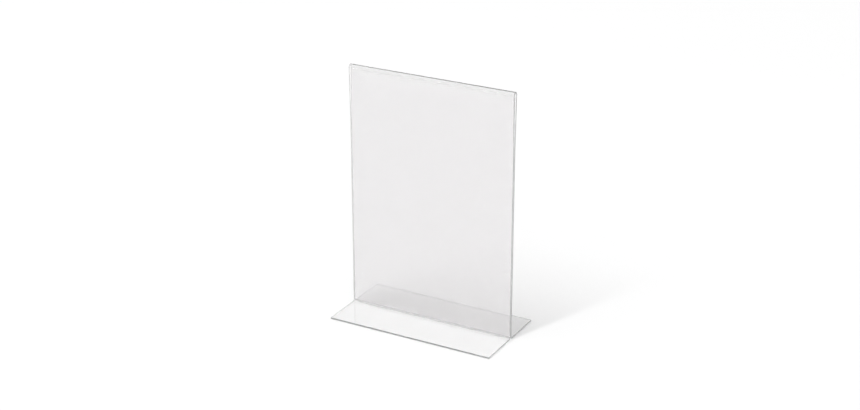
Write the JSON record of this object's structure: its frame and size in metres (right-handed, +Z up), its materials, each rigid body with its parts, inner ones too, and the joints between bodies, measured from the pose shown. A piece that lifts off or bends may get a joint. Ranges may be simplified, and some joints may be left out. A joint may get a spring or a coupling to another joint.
{
  "type": "sign stand",
  "caption": "Free-standing, double-sided clear acrylic sign stand: a sheet bent into an upside-down T, with a blank translucent insert that slides out of the pocket between its leaves.",
  "frame": {"origin": "on the table plane, below the middle of the pocket, at the centre of the stand's footprint", "axes": "+X along the stand's width, out of the right-hand open side as the front is looked at; +Y from the front foot to the rear foot; +Z up"},
  "size_m": [0.212, 0.11, 0.303],
  "materials": {
    "clear_acrylic": "clear, polished faces and edges",
    "insert_film": "blank translucent pale grey film, fine matte"
  },
  "bodies": {
    "stand": {"holder_sheet": "clear_acrylic"},
    "insert": {"insert_sheet": "insert_film"}
  },
  "joints": [
    {"name": "insert_slide", "type": "slide", "parent": "stand", "child": "insert", "axis": [1, 0, 0], "range_m": [-0.2, 0.2]}
  ]
}
